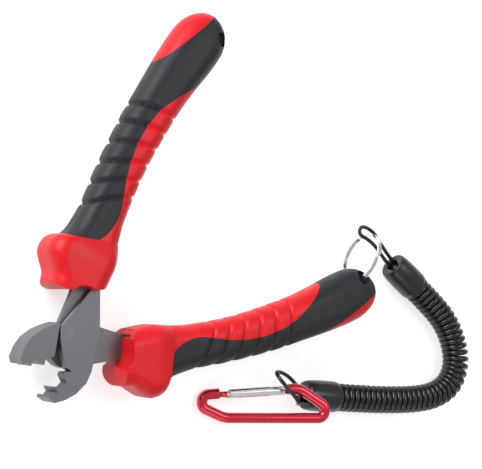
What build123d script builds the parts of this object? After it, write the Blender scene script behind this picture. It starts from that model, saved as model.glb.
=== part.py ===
from build123d import *
import math
import os

# Fishing pliers lying open on their side, with a split ring, a coiled lanyard and a carabiner.
# Millimetres. The origin is on the pivot's axis at the resting surface, +Z is up, +X runs along
# the line midway between the two handles, and the handles' tips point to +X.

# ---- driving dimensions -------------------------------------------------------------------
# pose
open_half_angle = 25.66      # each handle's axis from the X axis, as the pliers lie
closing_angle = 43.8         # turn of the upper half that brings the jaws together
lower_bite_angle = 25.5      # how far the lower half's bite line is turned from the X axis
bite_offset = 2.1            # the bite line's distance from the pivot's centre

# steel
steel_thickness = 12.0
lap_gap = 0.1                # between the two lap plates
lap_radius = 9.5             # round plate of the lower half under the upper plate
lap_clearance = 0.4          # round the lap plates
shoulder_distance = 8.3      # pivot to the straight shoulder behind the lower half's jaw
shoulder_angle = 133.3       # the way that shoulder faces away from the pivot
under_plate_angle = -58.0    # slope of the room under the upper plate
step_radius = 24.6           # the shanks are full thickness from here outwards
bite_gap = 0.12              # left between the jaws when closed
rivet_diameter = 7.0
rivet_head_overhang = 1.3    # the head's edge beyond the shaft
rivet_head_height = 1.3
running_clearance = 0.05     # radial, between the rivet and the upper half
tang_thickness = 7.0
recess_depth = 3.0           # of the upper half's shank below the plate's face

# grips
handle_length = 155.6        # pivot to the handle's tip
collar_thickness = 23.2
grip_thickness = 17.0
tip_thickness = 19.0
cover_depth = 2.4            # depth of the black rubber over the hard core
lanyard_hole_diameter = 6.5
lanyard_hole_from_tip = 8.6  # along the handle's axis
lanyard_hole_y = 0.2         # across it

# split ring
ring_radius = 11.9           # to the middle of the flat wire
ring_wire_width = 1.0
ring_wire_height = 0.9
ring_turn_gap = 0.08
ring_heading = 32.0          # the ring stands upright, and points this way from the hole
ring_hole_inset = 1.9        # the ring's nearest point, inside the hole's centre

# lanyard
coil_diameter = 13.0
cap_step = 0.7               # the cap stands this far outside the coil
cap_taper = 0.6              # the mouth's radius is less than the cap's by this
cap_length = 18.0
cap_wall = 1.8
ferrule_wall = 2.1           # beyond the middle of each leg of the loop
ferrule_length = 9.0
loop_wire_diameter = 1.8
loop_wire_clearance = 0.8

# carabiner
carabiner_length = 62.5
carabiner_width = 17.6
carabiner_nose_height = 10.4
bar_diameter = 4.8
gate_diameter = 4.6
gate_wall = 0.6
gate_clearance = 0.35
gate_pin_diameter = 1.6
tongue_thickness = 2.4
fork_length = 10.4           # slot at the gate's pivot, half of it beyond the pivot
catch_length = 10.4          # slot at the gate's free end
nose_pin_diameter = 1.5
nose_pin_overhang = 0.3      # each end of the pin beyond the bar
nose_pin_inset = 1.6         # the pin's middle, inside the nose's face
gate_setback = 24.0          # the gate's pivot from the far end
nose_setback = 12.2          # the nose's face from the near end

# ---- places worked out from them ------------------------------------------------------------
mid_z = collar_thickness / 2
steel_top = mid_z + steel_thickness / 2
steel_bottom = mid_z - steel_thickness / 2
upper_bite_angle = closing_angle - lower_bite_angle
rivet_head_diameter = rivet_diameter + 2 * rivet_head_overhang
cap_diameter = coil_diameter + 2 * cap_step
cap_axis_z = cap_diameter / 2
lanyard_hole_x = handle_length - lanyard_hole_from_tip
hole_angle = math.radians(-open_half_angle)
hole_x = lanyard_hole_x * math.cos(hole_angle) + lanyard_hole_y * math.sin(hole_angle)
hole_y = lanyard_hole_x * math.sin(hole_angle) - lanyard_hole_y * math.cos(hole_angle)
ring_outer_radius = ring_radius + ring_wire_width / 2
ring_z = ring_outer_radius + 0.1


def spin(points, angle):
    """Points of an outline turned about the pivot."""
    c = math.cos(math.radians(angle))
    s = math.sin(math.radians(angle))
    return [(x * c - y * s, x * s + y * c) for x, y in points]


def slab(points, bottom, top):
    """An outline made solid between two heights."""
    face = make_face(Polyline(*points, close=True))
    return extrude(Pos(0, 0, bottom) * face, amount=top - bottom)


def disc(radius, bottom, top):
    return Pos(0, 0, (bottom + top) / 2) * Cylinder(radius, top - bottom)


def pivot_zone(radius):
    return disc(radius, steel_bottom - 1, steel_top + 1)


def largest(shape):
    return sorted(shape.solids(), key=lambda solid: solid.volume)[-1]


# ---- steel halves ---------------------------------------------------------------------------
# Jaw outlines with the jaws closed: the bite line is level and lies below the pivot.
def upper_jaw_outline():
    """The jaw of the upper half, below the bite line, with its two crimp nests."""
    bite = -bite_offset - bite_gap / 2
    return [
        (-11.0, bite), (-12.4, bite), (-14.1, -5.2), (-16.6, -4.8), (-18.2, bite),
        (-19.4, -4.3), (-21.2, -4.1), (-22.2, bite), (-23.4, bite), (-23.5, -5.6),
        (-20.1, -8.7), (-15.6, -11.3), (-9.6, -12.7), (-4.2, -11.8),
    ]


def lower_jaw_outline():
    """The jaw of the lower half, above the bite line, with its two crimp lobes."""
    bite = -bite_offset + bite_gap / 2
    return [
        (-9.6, bite), (-13.4, bite), (-14.7, -4.4), (-16.1, -4.0), (-17.2, bite),
        (-19.5, bite), (-20.0, -3.5), (-20.8, -3.4), (-21.4, bite), (-23.8, bite), (-24.0, 0.6),
        (-21.4, 4.4), (-17.8, 7.5), (-12.7, 9.6), (-7.4, 10.4), (-4.6, 10.6),
    ]


# A handle's stations are drawn for this length, and stretch with handle_length past the collar.
drawn_length = 155.6
collar_end = 46.4


def stretched(points):
    """Points of a handle's outline, with what lies past the collar fitted to its length."""
    scale = (handle_length - collar_end) / (drawn_length - collar_end)
    return [(x if x < collar_end else collar_end + (x - collar_end) * scale, *rest)
            for x, *rest in points]


def tang_outline():
    """Shank and tang of one half in its handle's own frame: x along the handle, y outwards."""
    return stretched([
        (18.0, -2.6), (26.0, 1.3), (40.0, 7.2), (70.0, 9.6), (112.0, 9.4), (114.0, 12.0),
        (112.0, 14.6), (70.0, 16.6), (40.0, 16.4), (28.0, 12.4), (18.3, 10.4),
    ])


def shank(side):
    """The full-thickness shank up to the grip, and the thinner tang inside it."""
    outline = [(x, side * y) for x, y in tang_outline()]
    outline = spin(outline, side * open_half_angle)
    tang = slab(outline, mid_z - tang_thickness / 2, mid_z + tang_thickness / 2)
    full = slab(outline, steel_bottom, steel_top) - pivot_zone(step_radius)
    inside_grip = Pos(34.0 + 100, 0, mid_z) * Box(200, 200, steel_thickness * 2)
    inside_grip = Rot(0, 0, side * open_half_angle) * inside_grip
    return (full - inside_grip) + (tang - pivot_zone(step_radius))


def lap_plate_outline(side):
    """One lap plate from the jaw's back to the shank, as the pliers lie."""
    inner = [(20.5, -1.4), (27.0, 1.8)]
    outer = [(27.0, 12.0), (18.3, 10.4), (6.1, 9.6)]
    inner = spin([(x, side * y) for x, y in inner], side * open_half_angle)
    outer = spin([(x, side * y) for x, y in outer], side * open_half_angle)
    back = [(-0.2, 10.7), (-3.6, 6.3), (-6.3, 0.8), (-8.0, -5.1)]
    jaw_back = [(-5.4, -14.2), (-0.2, -12.4), (8.3, -4.8), (12.6, -1.2)]
    if side < 0:
        back = [(1.6, -10.6), (-2.4, -9.2), (-6.5, -7.0), (-9.0, -3.0)]
        jaw_back = [(-9.5, 0.6), (-9.4, 1.8), (-5.2, 7.9), (6.0, 7.4), (12.6, 1.2)]
    return inner + outer + back + jaw_back


def rivet_hole(clearance):
    head = rivet_head_diameter / 2 + clearance
    shaft = rivet_diameter / 2 + clearance
    cone_top = Pos(0, 0, steel_top - rivet_head_height / 2) * Cone(shaft, head, rivet_head_height)
    cone_bottom = Pos(0, 0, steel_bottom + rivet_head_height / 2) * Cone(head, shaft, rivet_head_height)
    return disc(shaft, steel_bottom, steel_top) + cone_top + cone_bottom


def upper_jaw_half():
    """Upper half: lap plate on top, nested jaw full thickness outside the lower lap plate."""
    plate = slab(lap_plate_outline(1), mid_z + lap_gap / 2, steel_top) - shank_recess()
    jaw = slab(spin(upper_jaw_outline(), upper_bite_angle), steel_bottom, steel_top)
    under = disc(lap_radius + lap_clearance, steel_bottom - 1, mid_z + lap_gap / 2)
    half = plate + (jaw - under - lower_shank_room()) + (shank(1) - shank_recess())
    return largest(half - rivet_hole(running_clearance))


def shank_recess():
    """Step down from the upper plate's face to its shank, outwards of a slanting edge."""
    outline = [(30.0, 2.7), (8.3, 7.9), (-4.0, 10.9), (-4.0, 20.0), (30.0, 20.0)]
    return slab(spin(outline, open_half_angle), steel_top - recess_depth, steel_top + 1)


def lower_shank_room():
    """Space under the upper plate that the lower half's plate takes on its way to the shank."""
    outline = [(-3.6, -18.0), (30.0, -18.0), (30.0, 18.0), (-3.6, 18.0)]
    outline = spin(outline, under_plate_angle)
    return slab(outline, steel_bottom - 1, mid_z + lap_gap / 2)


def lower_jaw_half():
    """Lower half: lap plate underneath, lobed jaw full thickness outside the upper lap plate."""
    plate = slab(lap_plate_outline(-1), steel_bottom, mid_z - lap_gap / 2)
    plate += disc(lap_radius, steel_bottom, mid_z - lap_gap / 2)
    jaw = slab(spin(lower_jaw_outline(), -lower_bite_angle), steel_bottom, steel_top)
    half = plate + (jaw - upper_plate_room()) + shank(-1)
    return largest(half - rivet_hole(0))


def upper_plate_room():
    """Space on top that the upper plate sweeps: everything inside the straight shoulder."""
    room = Box(40, 60, steel_thickness)
    room = Pos(shoulder_distance - 20, 0, mid_z - lap_gap / 2 + steel_thickness / 2) * room
    return Rot(0, 0, shoulder_angle) * room


def pivot_rivet():
    return rivet_hole(0)


# ---- grips ------------------------------------------------------------------------------------
# Stations along the handle: x, inner edge, outer edge, thickness, corner radius.
def grip_stations():
    mid = grip_thickness
    tip = tip_thickness
    return stretched([
        (30.0, -0.4, 22.6, mid + 1.0, 6.0), (42.0, 0.9, 21.6, mid, 6.5), (54.0, 2.9, 21.8, mid, 7.0),
        (68.0, 3.9, 22.9, mid, 7.2), (82.0, 4.0, 23.3, mid, 7.4), (96.0, 3.0, 23.2, mid, 7.6),
        (110.0, 1.6, 22.3, mid + 0.4, 7.8), (122.0, -0.6, 21.5, mid + 1.2, 8.2),
        (133.0, -3.2, 20.6, tip, 8.8), (142.0, -4.8, 19.6, tip, 9.0), (148.5, -3.6, 17.8, tip - 1.0, 8.6),
        (153.0, -0.2, 14.6, tip - 4.0, 6.6), (155.6, 4.0, 10.6, 6.0, 2.8),
    ])


def grip_loft(inset):
    """The whole grip, or the grip drawn in by an inset on every side."""
    sections = []
    for x, inner, outer, thick, corner in grip_stations():
        width = outer - inner - 2 * inset
        height = thick - 2 * inset
        if min(width, height) < 1.5:
            continue
        radius = min(max(corner - inset, 0.6), 0.47 * min(width, height))
        place = Plane(origin=(x, (inner + outer) / 2, 0), x_dir=(0, 1, 0), z_dir=(1, 0, 0))
        sections.append(place * RectangleRounded(width, height, radius))
    return loft(sections)


def collar_block():
    """Finger guard at the head of the grip, flared outwards, with a mouth for the shank."""
    outline = [
        (18.2, 13.4), (17.6, 19.6), (19.0, 21.6), (22.6, 22.6), (25.2, 25.4), (28.6, 28.6),
        (32.2, 28.8), (35.6, 26.6), (38.4, 21.0), (41.0, 14.0), (43.0, 8.0), (43.6, 1.4),
        (38.0, -1.2), (29.5, -1.2), (26.0, -0.4), (23.4, 3.2), (22.6, 8.8), (20.4, 12.0),
    ]
    block = slab(outline, -collar_thickness / 2, collar_thickness / 2)
    rims = block.faces().filter_by(Axis.Z).edges()
    return chamfer(rims, 1.0)


def cover_region():
    """Plan of the black rubber: the outer side, crossing to the inner side at the tip."""
    outline = [
        (34.5, 24.0), (36.5, 18.0), (40.0, 12.8), (46.5, 9.4), (54.0, 8.2), (60.0, 9.3), (66.0, 11.3),
        (72.0, 13.1), (79.0, 14.3), (87.0, 14.9), (95.0, 14.2), (103.5, 12.2), (112.0, 7.8),
        (120.0, 2.6), (128.0, -3.4), (128.0, -9.0), (162.0, -9.0), (162.0, 5.6), (155.5, 7.2),
        (140.0, 13.6), (126.0, 20.0), (120.0, 25.0), (118.0, 32.0), (34.5, 32.0),
    ]
    return slab(stretched(outline), -collar_thickness, collar_thickness)


def on_handle(shape, side):
    """From the handle's own frame, where y points outwards, to its place in the pliers."""
    if side < 0:
        shape = mirror(shape, about=Plane.XZ)
    return Pos(0, 0, mid_z) * Rot(0, 0, side * open_half_angle) * shape


def grip(side, steel):
    """Hard core and rubber cover of one handle."""
    whole = grip_loft(0)
    hole = Pos(lanyard_hole_x, lanyard_hole_y, 0) * Cylinder(lanyard_hole_diameter / 2, 60)
    heart = grip_loft(cover_depth)
    cover = (whole & cover_region()) - heart - collar_block() - hole
    core = ((whole - cover_region()) + (heart & whole) + collar_block()) - hole
    cover = on_handle(largest(cover), side)
    core = on_handle(largest(core), side) - steel
    return largest(core), cover


# ---- split ring ---------------------------------------------------------------------------------
def ring_place():
    turn = math.radians(ring_heading)
    reach = ring_radius - ring_hole_inset
    centre = (hole_x + reach * math.cos(turn), hole_y + reach * math.sin(turn), ring_z)
    axis = (math.sin(turn), -math.cos(turn), 0)
    return Plane(origin=centre, x_dir=(0, 0, 1), z_dir=axis)


def split_ring():
    """Flat wire wound twice, one turn beside the other."""
    pitch = ring_wire_height + ring_turn_gap
    path = Helix(pitch=pitch, height=2 * pitch * 0.985, radius=ring_radius)
    start = path @ 0
    section_plane = Plane(origin=start, x_dir=(1, 0, 0), z_dir=path % 0)
    section = section_plane * Rectangle(ring_wire_width, ring_wire_height)
    wound = sweep(section, path=path, is_frenet=True)
    return ring_place() * Pos(0, 0, -pitch) * wound


# ---- lanyard --------------------------------------------------------------------------------------
# Middle line of the coil as it lies on the surface, from the ring's cap to the carabiner's cap,
# measured from the hole that the ring is in.
route_from_hole = [
    (29.6, -27.8), (33.0, -40.2), (35.0, -52.7), (33.0, -64.7), (27.2, -74.6), (17.6, -78.8),
    (7.2, -76.6), (-3.0, -70.4), (-15.2, -60.8), (-27.3, -50.4), (-38.9, -39.8),
]
coil_route = [(hole_x + x, hole_y + y) for x, y in route_from_hole]


def bend_radii(points):
    """A bend radius for each inner point, from the shorter run beside it and the turn there."""
    radii = []
    for before, here, after in zip(points, points[1:], points[2:]):
        turn = (here - before).get_angle(after - here)
        shorter = min((here - before).length, (after - here).length)
        radii.append(0.45 * shorter / math.tan(math.radians(turn / 2)))
    return radii


def coil_cord():
    points = [Vector(x, y, cap_axis_z) for x, y in coil_route]
    radii = bend_radii(points)
    path = FilletPolyline(*points, radius=radii)
    section = Plane(origin=path @ 0, z_dir=path % 0) * Circle(coil_diameter / 2)
    tube = sweep(section, path=path)
    print("coil radii", [round(radius, 1) for radius in radii], "length", round(path.length, 1))
    print("coil volume", round(tube.volume), "section x length",
          round(math.pi * coil_diameter ** 2 / 4 * path.length))
    return tube


def cap_plane(near, following):
    """Plane at the coil's end, looking out of the coil."""
    out = (near[0] - following[0], near[1] - following[1], 0)
    return Plane(origin=(near[0], near[1], cap_axis_z), x_dir=(0, 0, 1), z_dir=out)


ring_cap_plane = cap_plane(coil_route[0], coil_route[1])
carabiner_cap_plane = cap_plane(coil_route[-1], coil_route[-2])


def end_cap(place):
    """Hollow moulded cap: the coil butts against its open end, the loop leaves by the other."""
    body = Pos(0, 0, cap_length * 0.3) * Cylinder(cap_diameter / 2, cap_length * 0.6)
    nose = Cone(cap_diameter / 2, cap_diameter / 2 - cap_taper, cap_length * 0.4)
    body += Pos(0, 0, cap_length * 0.8) * nose
    inside = Pos(0, 0, (cap_length - cap_wall) / 2)
    inside *= Cylinder(cap_diameter / 2 - cap_wall, cap_length - cap_wall)
    slot_width = loop_leg_spacing() + loop_wire_diameter
    slot = Pos(0, 0, cap_length) * Box(loop_wire_diameter, slot_width, 4 * cap_wall)
    return place * (body - inside - slot)


def end_ferrule(place):
    """Sleeve crimped over the two legs of the loop inside the cap."""
    middle = cap_length - cap_wall - ferrule_length / 2
    radius = loop_leg_spacing() / 2 + ferrule_wall
    return place * Pos(0, 0, middle) * Cylinder(radius, ferrule_length)


def loop_leg_spacing():
    """Between the loop's two legs, middle to middle, so that the ring's wire fits between."""
    return ring_wire_width + loop_wire_diameter + 2 * loop_wire_clearance


def ring_wire_loop():
    """Loop from the cap round the far side of the ring."""
    far = ring_far_point()
    spacing = loop_leg_spacing()
    start = ring_cap_plane.origin + ring_cap_plane.z_dir * (cap_length - cap_wall)
    across = Vector(math.cos(math.radians(ring_heading)), math.sin(math.radians(ring_heading)), 0)
    along = Vector(across.Y, -across.X, 0)
    leave = start + ring_cap_plane.z_dir * (3.0 + cap_wall)
    rise = Vector(0, 0, ring_z - cap_axis_z)
    middle = Vector(far[0], far[1], cap_axis_z) + rise * 0.9
    side = ring_cap_plane.y_dir * (spacing / 2)
    if side.dot(across) < 0:
        side = side * -1
    wide = across * (spacing / 2)
    end = middle - along * (ring_wire_height + 2.0 + spacing / 2)
    near = middle + along * 4.0
    points = [
        start + side, leave + side, near + wide, end + wide,
        end - wide, near - wide, leave - side, start - side,
    ]
    return wire_along(points, [2.2, 2.2, spacing * 0.42, spacing * 0.42, 2.2, 2.2])


def ring_far_point():
    reach = 2 * ring_radius - ring_hole_inset
    turn = math.radians(ring_heading)
    return (hole_x + reach * math.cos(turn), hole_y + reach * math.sin(turn))


def wire_along(points, radii):
    path = FilletPolyline(*points, radius=radii)
    section = Plane(origin=path @ 0, z_dir=path % 0) * Circle(loop_wire_diameter / 2)
    return sweep(section, path=path)


# ---- carabiner ---------------------------------------------------------------------------------
# Its own frame: x along it from the nose end, y across towards the gate, z out of its plane.
# Its near end lies on the surface and its far end on the end cap, so the whole thing slopes.
carabiner_heading = -38.6
far_end_from_hole = (-52.96, -39.55)
far_end_height = 18.12
near_end_height = bar_diameter / 2 - 0.58
carabiner_rise = math.degrees(math.asin((far_end_height - near_end_height) / carabiner_length))
gate_pivot = (carabiner_length - gate_setback, carabiner_width - bar_diameter - 0.6)
nose_end = (nose_setback, carabiner_nose_height)


def carabiner_place():
    far_end = Pos(hole_x + far_end_from_hole[0], hole_y + far_end_from_hole[1], far_end_height)
    turned = Rot(0, 0, carabiner_heading) * Rot(0, -carabiner_rise, 0)
    return far_end * turned * Pos(-carabiner_length, 0, 0)


def gate_frame():
    """At the gate's pivot, x towards the nose."""
    turn = math.degrees(math.atan2(nose_end[1] - gate_pivot[1], nose_end[0] - gate_pivot[0]))
    return Pos(gate_pivot[0], gate_pivot[1], 0) * Rot(0, 0, turn)


gate_length = math.dist(gate_pivot, nose_end)
washer_x = gate_length - 6.2         # along the gate from its pivot
plunger_x = 7.6
washer_length = 1.2
plunger_length = 3.2


def nose_pin_frame():
    return gate_frame() * Pos(gate_length - nose_pin_inset, 0, 0)


def carabiner_body():
    half = bar_diameter / 2
    right = carabiner_length - half
    top = carabiner_width - bar_diameter
    pts = [
        (nose_end[0] - 2.2, nose_end[1] + 0.2, 0), (half, nose_end[1] - 0.4, 0), (half + 0.3, 4.4, 0),
        (13.0, 0, 0), (right, 0, 0), (right, 5.6, 0), (carabiner_length - 15.0, top + 0.5, 0),
        (gate_pivot[0] + 3.6, top - 0.1, 0),
    ]
    path = FilletPolyline(*pts, radius=[3.2, 3.2, 12.0, 3.3, 3.3, 9.0])
    section = Plane(origin=path @ 0, z_dir=path % 0) * Circle(half)
    bar = sweep(section, path=path)
    tongue = gate_frame() * Pos(-2.0, 0, 0) * Box(7.2, 3.0, tongue_thickness)
    neck = gate_frame() * Pos(gate_length + 0.1, 0, 0) * Box(5.8, 2.4, 2.0)
    body = bar + tongue + neck
    body -= gate_frame() * Cylinder(gate_pin_diameter / 2, 20)
    body -= nose_pin_frame() * Cylinder(nose_pin_diameter / 2, 20)
    return carabiner_place() * largest(body)


def carabiner_gate():
    """Tube gate with a fork at its pivot, and a slot and a notch for the nose at its free end."""
    start = -1.6
    end = gate_length - 0.4
    along = Rot(0, 90, 0)
    tube = Pos((start + end) / 2, 0, 0) * along * Cylinder(gate_diameter / 2, end - start)
    bore = Pos((start + end) / 2, 0, 0) * along * Cylinder(gate_diameter / 2 - gate_wall, end - start)
    slot = tongue_thickness + 2 * gate_clearance
    fork = Box(fork_length, 20, slot)
    catch = Pos(end - 0.6, 0, 0) * Box(catch_length, 20, slot)
    reach = nose_pin_diameter / 2 + gate_clearance
    notch_start = gate_length - nose_pin_inset - reach
    notch_length = end - notch_start + 1
    notch = Box(notch_length, gate_diameter, 20)
    notch = Pos(notch_start + notch_length / 2, reach - gate_diameter / 2, 0) * notch
    gate = tube - bore - fork - catch - notch
    gate -= Cylinder(gate_pin_diameter / 2 + running_clearance, 20)
    return carabiner_place() * gate_frame() * largest(gate)


def gate_pin():
    return carabiner_place() * gate_frame() * Cylinder(gate_pin_diameter / 2, gate_diameter)


def nose_pin():
    pin = Cylinder(nose_pin_diameter / 2, bar_diameter + 2 * nose_pin_overhang)
    return carabiner_place() * nose_pin_frame() * pin


def gate_plunger():
    radius = gate_diameter / 2 - gate_wall - running_clearance
    place = gate_frame() * Pos(plunger_x, 0, 0) * Rot(0, 90, 0)
    return carabiner_place() * place * Cylinder(radius, plunger_length)


def gate_spring():
    """Compression spring in the gate tube, from the plunger to the washer."""
    wire = 0.4
    gap = 0.1
    start = plunger_x + plunger_length / 2 + wire / 2
    end = washer_x - washer_length / 2 - wire / 2
    radius = gate_diameter / 2 - gate_wall - wire / 2 - gap
    path = Helix(pitch=(end - start) / 7, height=end - start, radius=radius)
    section = Plane(origin=path @ 0, z_dir=path % 0) * Circle(wire / 2)
    coil = sweep(section, path=path, is_frenet=True)
    return carabiner_place() * gate_frame() * Pos(start, 0, 0) * Rot(0, 90, 0) * coil


def gate_washer():
    """Black stop at the free end, that the spring bears on."""
    place = gate_frame() * Pos(washer_x, 0, 0) * Rot(0, 90, 0)
    return carabiner_place() * place * Cylinder(gate_diameter / 2 - gate_wall, washer_length)


def on_carabiner(x, y, z):
    return (carabiner_place() * Pos(x, y, z)).position


def carabiner_wire_loop():
    """Loop from the cap, outside the carabiner's arch, back over it and down through the middle."""
    plane = carabiner_cap_plane
    start = plane.origin + plane.z_dir * (cap_length - cap_wall)
    leave = start + plane.z_dir * (cap_wall + 2.0)
    side = plane.y_dir * (loop_leg_spacing() / 2)
    if side.Z + side.Y < 0:
        side = side * -1
    arch = carabiner_width - bar_diameter
    over = bar_diameter / 2 + loop_wire_diameter / 2 + loop_wire_clearance
    hinge_x = gate_pivot[0]
    points = [
        start + side, leave + side, on_carabiner(hinge_x + 4.5, arch + 6.5, -over),
        on_carabiner(hinge_x - 3.0, arch + 8.2, 0.6), on_carabiner(hinge_x - 1.2, arch + 4.0, over + 0.9),
        on_carabiner(hinge_x + 4.6, arch - 2.2, over + 0.9), on_carabiner(hinge_x + 9.0, arch - 6.4, 0.8),
        on_carabiner(hinge_x + 10.0, arch - 6.6, -5.4), leave - side, start - side,
    ]
    return wire_along(points, bend_radii(points))


# ---- write every sub-part ---------------------------------------------------------------------
def build():
    upper_steel = upper_jaw_half()
    lower_steel = lower_jaw_half()
    upper_core, upper_cover = grip(1, upper_steel)
    lower_core, lower_cover = grip(-1, lower_steel)
    return {
        "upper_jaw_half": upper_steel,
        "lower_jaw_half": lower_steel,
        "pivot_rivet": pivot_rivet(),
        "upper_grip_core": upper_core,
        "upper_grip_cover": upper_cover,
        "lower_grip_core": lower_core,
        "lower_grip_cover": lower_cover,
        "split_ring": split_ring(),
        "coil_cord": coil_cord(),
        "ring_end_cap": end_cap(ring_cap_plane),
        "carabiner_end_cap": end_cap(carabiner_cap_plane),
        "ring_wire_loop": ring_wire_loop(),
        "carabiner_wire_loop": carabiner_wire_loop(),
        "ring_end_ferrule": end_ferrule(ring_cap_plane),
        "carabiner_end_ferrule": end_ferrule(carabiner_cap_plane),
        "carabiner_body": carabiner_body(),
        "carabiner_gate": carabiner_gate(),
        "gate_pin": gate_pin(),
        "nose_pin": nose_pin(),
        "gate_plunger": gate_plunger(),
        "gate_spring": gate_spring(),
        "gate_washer": gate_washer(),
    }


os.makedirs("parts", exist_ok=True)
for name, solid in build().items():
    export_step(solid, f"parts/{name}.step")
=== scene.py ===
import math

import bpy
from bpy.props import FloatProperty, FloatVectorProperty, IntProperty, PointerProperty
from mathutils import Matrix, Vector


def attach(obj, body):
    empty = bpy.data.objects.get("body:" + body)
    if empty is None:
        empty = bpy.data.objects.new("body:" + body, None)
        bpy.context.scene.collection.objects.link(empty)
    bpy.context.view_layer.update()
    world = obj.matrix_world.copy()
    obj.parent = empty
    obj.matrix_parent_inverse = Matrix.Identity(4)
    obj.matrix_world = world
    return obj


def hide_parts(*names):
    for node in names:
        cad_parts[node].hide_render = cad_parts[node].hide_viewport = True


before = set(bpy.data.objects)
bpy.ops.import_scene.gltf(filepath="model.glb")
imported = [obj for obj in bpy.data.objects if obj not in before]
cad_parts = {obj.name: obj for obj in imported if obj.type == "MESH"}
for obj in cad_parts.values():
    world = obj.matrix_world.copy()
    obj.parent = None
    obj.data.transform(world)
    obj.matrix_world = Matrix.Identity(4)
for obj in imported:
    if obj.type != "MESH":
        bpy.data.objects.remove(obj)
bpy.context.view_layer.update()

bl_info = {
    "name": "Fishing Pliers",
    "version": (1, 0, 0),
    "blender": (4, 5, 0),
    "location": "View3D > Sidebar > Pliers",
    "description": "Fishing pliers with two-colour grips, a coiled lanyard and a carabiner",
    "category": "Object",
}

MM = 0.001
MID_Z = 11.6                 # the pliers' middle plane above the surface, mm
OPEN_HALF_ANGLE = 25.66      # each handle's axis from the X axis, degrees
HOLE_X, HOLE_Y = 147.0, 0.2  # lanyard hole in the handle's own frame, mm
HOLE_RADIUS = 3.25
CUT_THROUGH = 30.0           # half height of a solid that cuts a whole grip, mm
MERGE = 0.002 * MM           # points closer than this are one
STEEL_TOP = 17.6             # face of the upper half, mm


# ---- sizes and colours a user would change ------------------------------------------------------
class PliersGripSettings(bpy.types.PropertyGroup):
    groove_depth: FloatProperty(name="Groove depth", description="Depth of the grooves across each grip",
                                default=0.85 * MM, min=0, unit="LENGTH")
    groove_width: FloatProperty(name="Groove width", description="Half width of a groove",
                                default=0.80 * MM, min=0.1 * MM, unit="LENGTH")
    seam_bevel: FloatProperty(name="Seam bevel", description="Rounding where red meets black",
                              default=0.22 * MM, min=0, unit="LENGTH")
    red: FloatVectorProperty(name="Red", description="Hard core and finger guard", subtype="COLOR",
                             default=(0.82, 0.010, 0.018), min=0, max=1)
    black: FloatVectorProperty(name="Black", description="Soft rubber cover", subtype="COLOR",
                               default=(0.015, 0.016, 0.020), min=0, max=1)


class PliersSteelSettings(bpy.types.PropertyGroup):
    edge_bevel: FloatProperty(name="Edge bevel", description="Broken edges of the jaws",
                              default=0.25 * MM, min=0, unit="LENGTH")
    steel: FloatVectorProperty(name="Steel", description="Satin jaw steel", subtype="COLOR",
                               default=(0.178, 0.182, 0.196), min=0, max=1)


class PliersLanyardSettings(bpy.types.PropertyGroup):
    wire_diameter: FloatProperty(name="Coil wire", description="Diameter of the coiled wire",
                                 default=2.8 * MM, min=0.5 * MM, unit="LENGTH")
    coil_diameter: FloatProperty(name="Coil", description="Outer diameter of the coil",
                                 default=13.0 * MM, min=4 * MM, unit="LENGTH")
    turns: IntProperty(name="Turns", description="Turns of the coil", default=41, min=4)
    plastic: FloatVectorProperty(name="Plastic", description="Glossy black plastic", subtype="COLOR",
                                 default=(0.008, 0.008, 0.009), min=0, max=1)


class PliersCarabinerSettings(bpy.types.PropertyGroup):
    anodised: FloatVectorProperty(name="Anodised", description="Deep red anodised bar", subtype="COLOR",
                                  default=(0.66, 0.012, 0.040), min=0, max=1)


# ---- small modelling helpers --------------------------------------------------------------------
def activate(obj):
    if bpy.context.object and bpy.context.object.mode != "OBJECT":
        bpy.ops.object.mode_set(mode="OBJECT")
    bpy.ops.object.select_all(action="DESELECT")
    obj.select_set(True)
    bpy.context.view_layer.objects.active = obj


def edit(obj):
    activate(obj)
    bpy.ops.object.mode_set(mode="EDIT")
    bpy.ops.mesh.select_all(action="SELECT")


def done():
    bpy.ops.object.mode_set(mode="OBJECT")


def normals_out():
    """Turns every face of the mesh in edit mode outwards, and leaves edit mode."""
    bpy.ops.mesh.select_all(action="SELECT")
    bpy.ops.mesh.normals_make_consistent(inside=False)
    done()


def apply_all(obj):
    activate(obj)
    for modifier in list(obj.modifiers):
        bpy.ops.object.modifier_apply(modifier=modifier.name)


def smooth(obj, angle=35):
    activate(obj)
    bpy.ops.object.shade_smooth_by_angle(angle=math.radians(angle))


def flat_faces(obj):
    """Lets the large faces set the shading, so that flat steel looks flat."""
    modifier = obj.modifiers.new("Weighted Normal", "WEIGHTED_NORMAL")
    modifier.keep_sharp = True
    apply_all(obj)


def bevel(obj, width, segments=3, angle=30):
    modifier = obj.modifiers.new("Bevel", "BEVEL")
    modifier.width = width
    modifier.segments = segments
    modifier.limit_method = "ANGLE"
    modifier.angle_limit = math.radians(angle)
    modifier.use_clamp_overlap = True
    apply_all(obj)


def boolean(obj, other, operation):
    """Cuts, joins or keeps what two closed pieces share, and removes the second one."""
    modifier = obj.modifiers.new("Boolean", "BOOLEAN")
    modifier.solver = "EXACT"
    modifier.operation = operation
    modifier.object = other
    apply_all(obj)
    bpy.data.objects.remove(other, do_unlink=True)


def copy_of(obj, name):
    copy = obj.copy()
    copy.data = obj.data.copy()
    copy.name = name
    bpy.context.scene.collection.objects.link(copy)
    return copy


def whole_faces(obj):
    """Merges doubles, and the triangles of each flat face."""
    edit(obj)
    bpy.ops.mesh.remove_doubles(threshold=MERGE)
    bpy.ops.mesh.dissolve_limited(angle_limit=math.radians(0.5))
    done()


def node_copy(node, name):
    """A copy of a CAD node, with its faces made whole."""
    copy = copy_of(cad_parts[node], name)
    copy.parent = None
    copy.matrix_world = Matrix.Identity(4)
    whole_faces(copy)
    return copy


def settle(obj, matrix):
    """Puts the place in the mesh, and leaves the object at the origin."""
    obj.data.transform(matrix)
    obj.matrix_world = Matrix.Identity(4)
    obj.data.update()


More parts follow.
